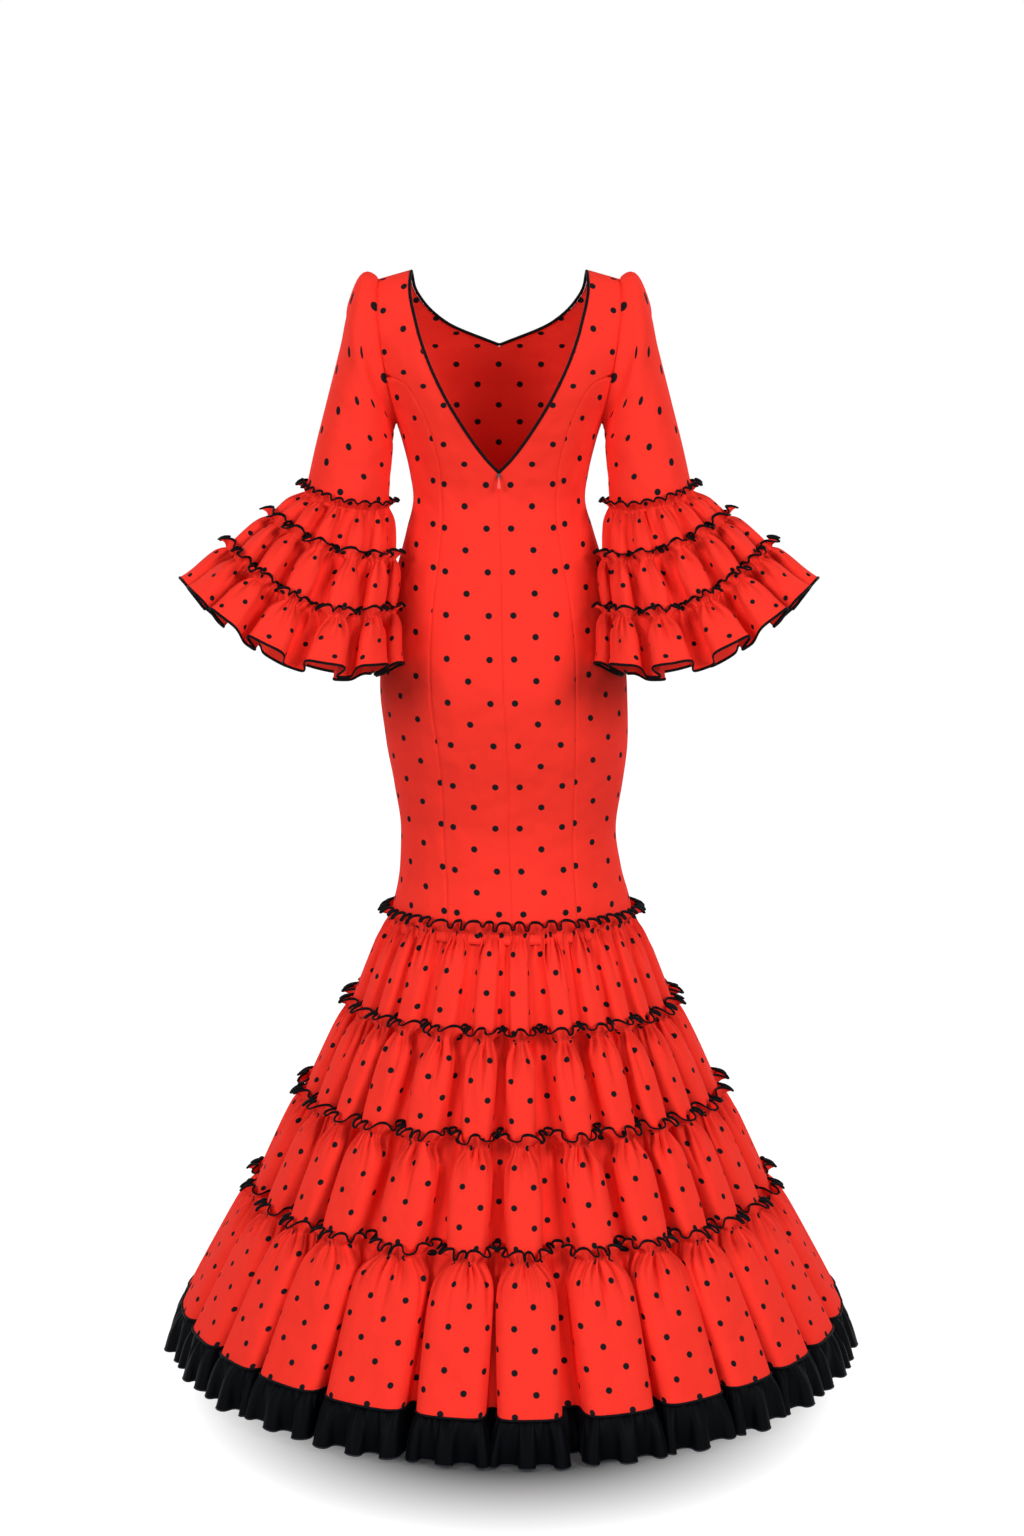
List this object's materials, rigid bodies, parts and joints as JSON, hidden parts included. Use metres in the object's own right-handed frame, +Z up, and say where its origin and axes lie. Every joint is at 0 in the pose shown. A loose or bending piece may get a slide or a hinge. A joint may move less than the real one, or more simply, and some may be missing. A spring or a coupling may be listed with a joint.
{
  "type": "flamenco dress, worn shape, red with black polka dots",
  "caption": "Fitted polka-dot flamenco dress with a deep V back, flounced sleeves and a tiered, frilled skirt, in its worn shape.",
  "frame": {"origin": "midpoint between the neck ends of the two shoulder seams, where the wearer's shoulders hold the dress", "axes": "+Z up; the wearer faces -Y, so +Y is the back of the dress, and +X is the wearer's left"},
  "size_m": [0.9722, 0.9369, 1.5128],
  "materials": {
    "red_dotted_crepe": "matt woven crepe with black printed dots",
    "black_crepe": "black crepe with a slight sheen",
    "black_binding": "narrow black bias binding",
    "black_zip_enamel": "black lacquered zinc",
    "red_zip_enamel": "red lacquered zinc"
  },
  "bodies": {
    "dress": {"body_front": "red_dotted_crepe", "body_back_left": "red_dotted_crepe", "body_back_right": "red_dotted_crepe", "body_side_back_left": "red_dotted_crepe", "body_side_back_right": "red_dotted_crepe", "sleeve_left": "red_dotted_crepe", "sleeve_right": "red_dotted_crepe", "sleeve_flounce_1_left": "red_dotted_crepe", "sleeve_flounce_1_right": "red_dotted_crepe", "sleeve_flounce_2_left": "red_dotted_crepe", "sleeve_flounce_2_right": "red_dotted_crepe", "sleeve_flounce_3_left": "red_dotted_crepe", "sleeve_flounce_3_right": "red_dotted_crepe", "skirt_tier_1": "red_dotted_crepe", "skirt_tier_2": "red_dotted_crepe", "skirt_tier_3": "red_dotted_crepe", "skirt_tier_4": "red_dotted_crepe", "hem_frill": "black_crepe", "neck_piping": "black_binding", "zip_slider": "black_zip_enamel"},
    "pull": {"zip_pull": "red_zip_enamel"}
  },
  "joints": [
    {"name": "zip_pull_hinge", "type": "hinge", "parent": "dress", "child": "pull", "pos_m": [0, 0.08507, -0.2737], "axis": [1, 0, 0], "range_deg": [0, 150]}
  ]
}
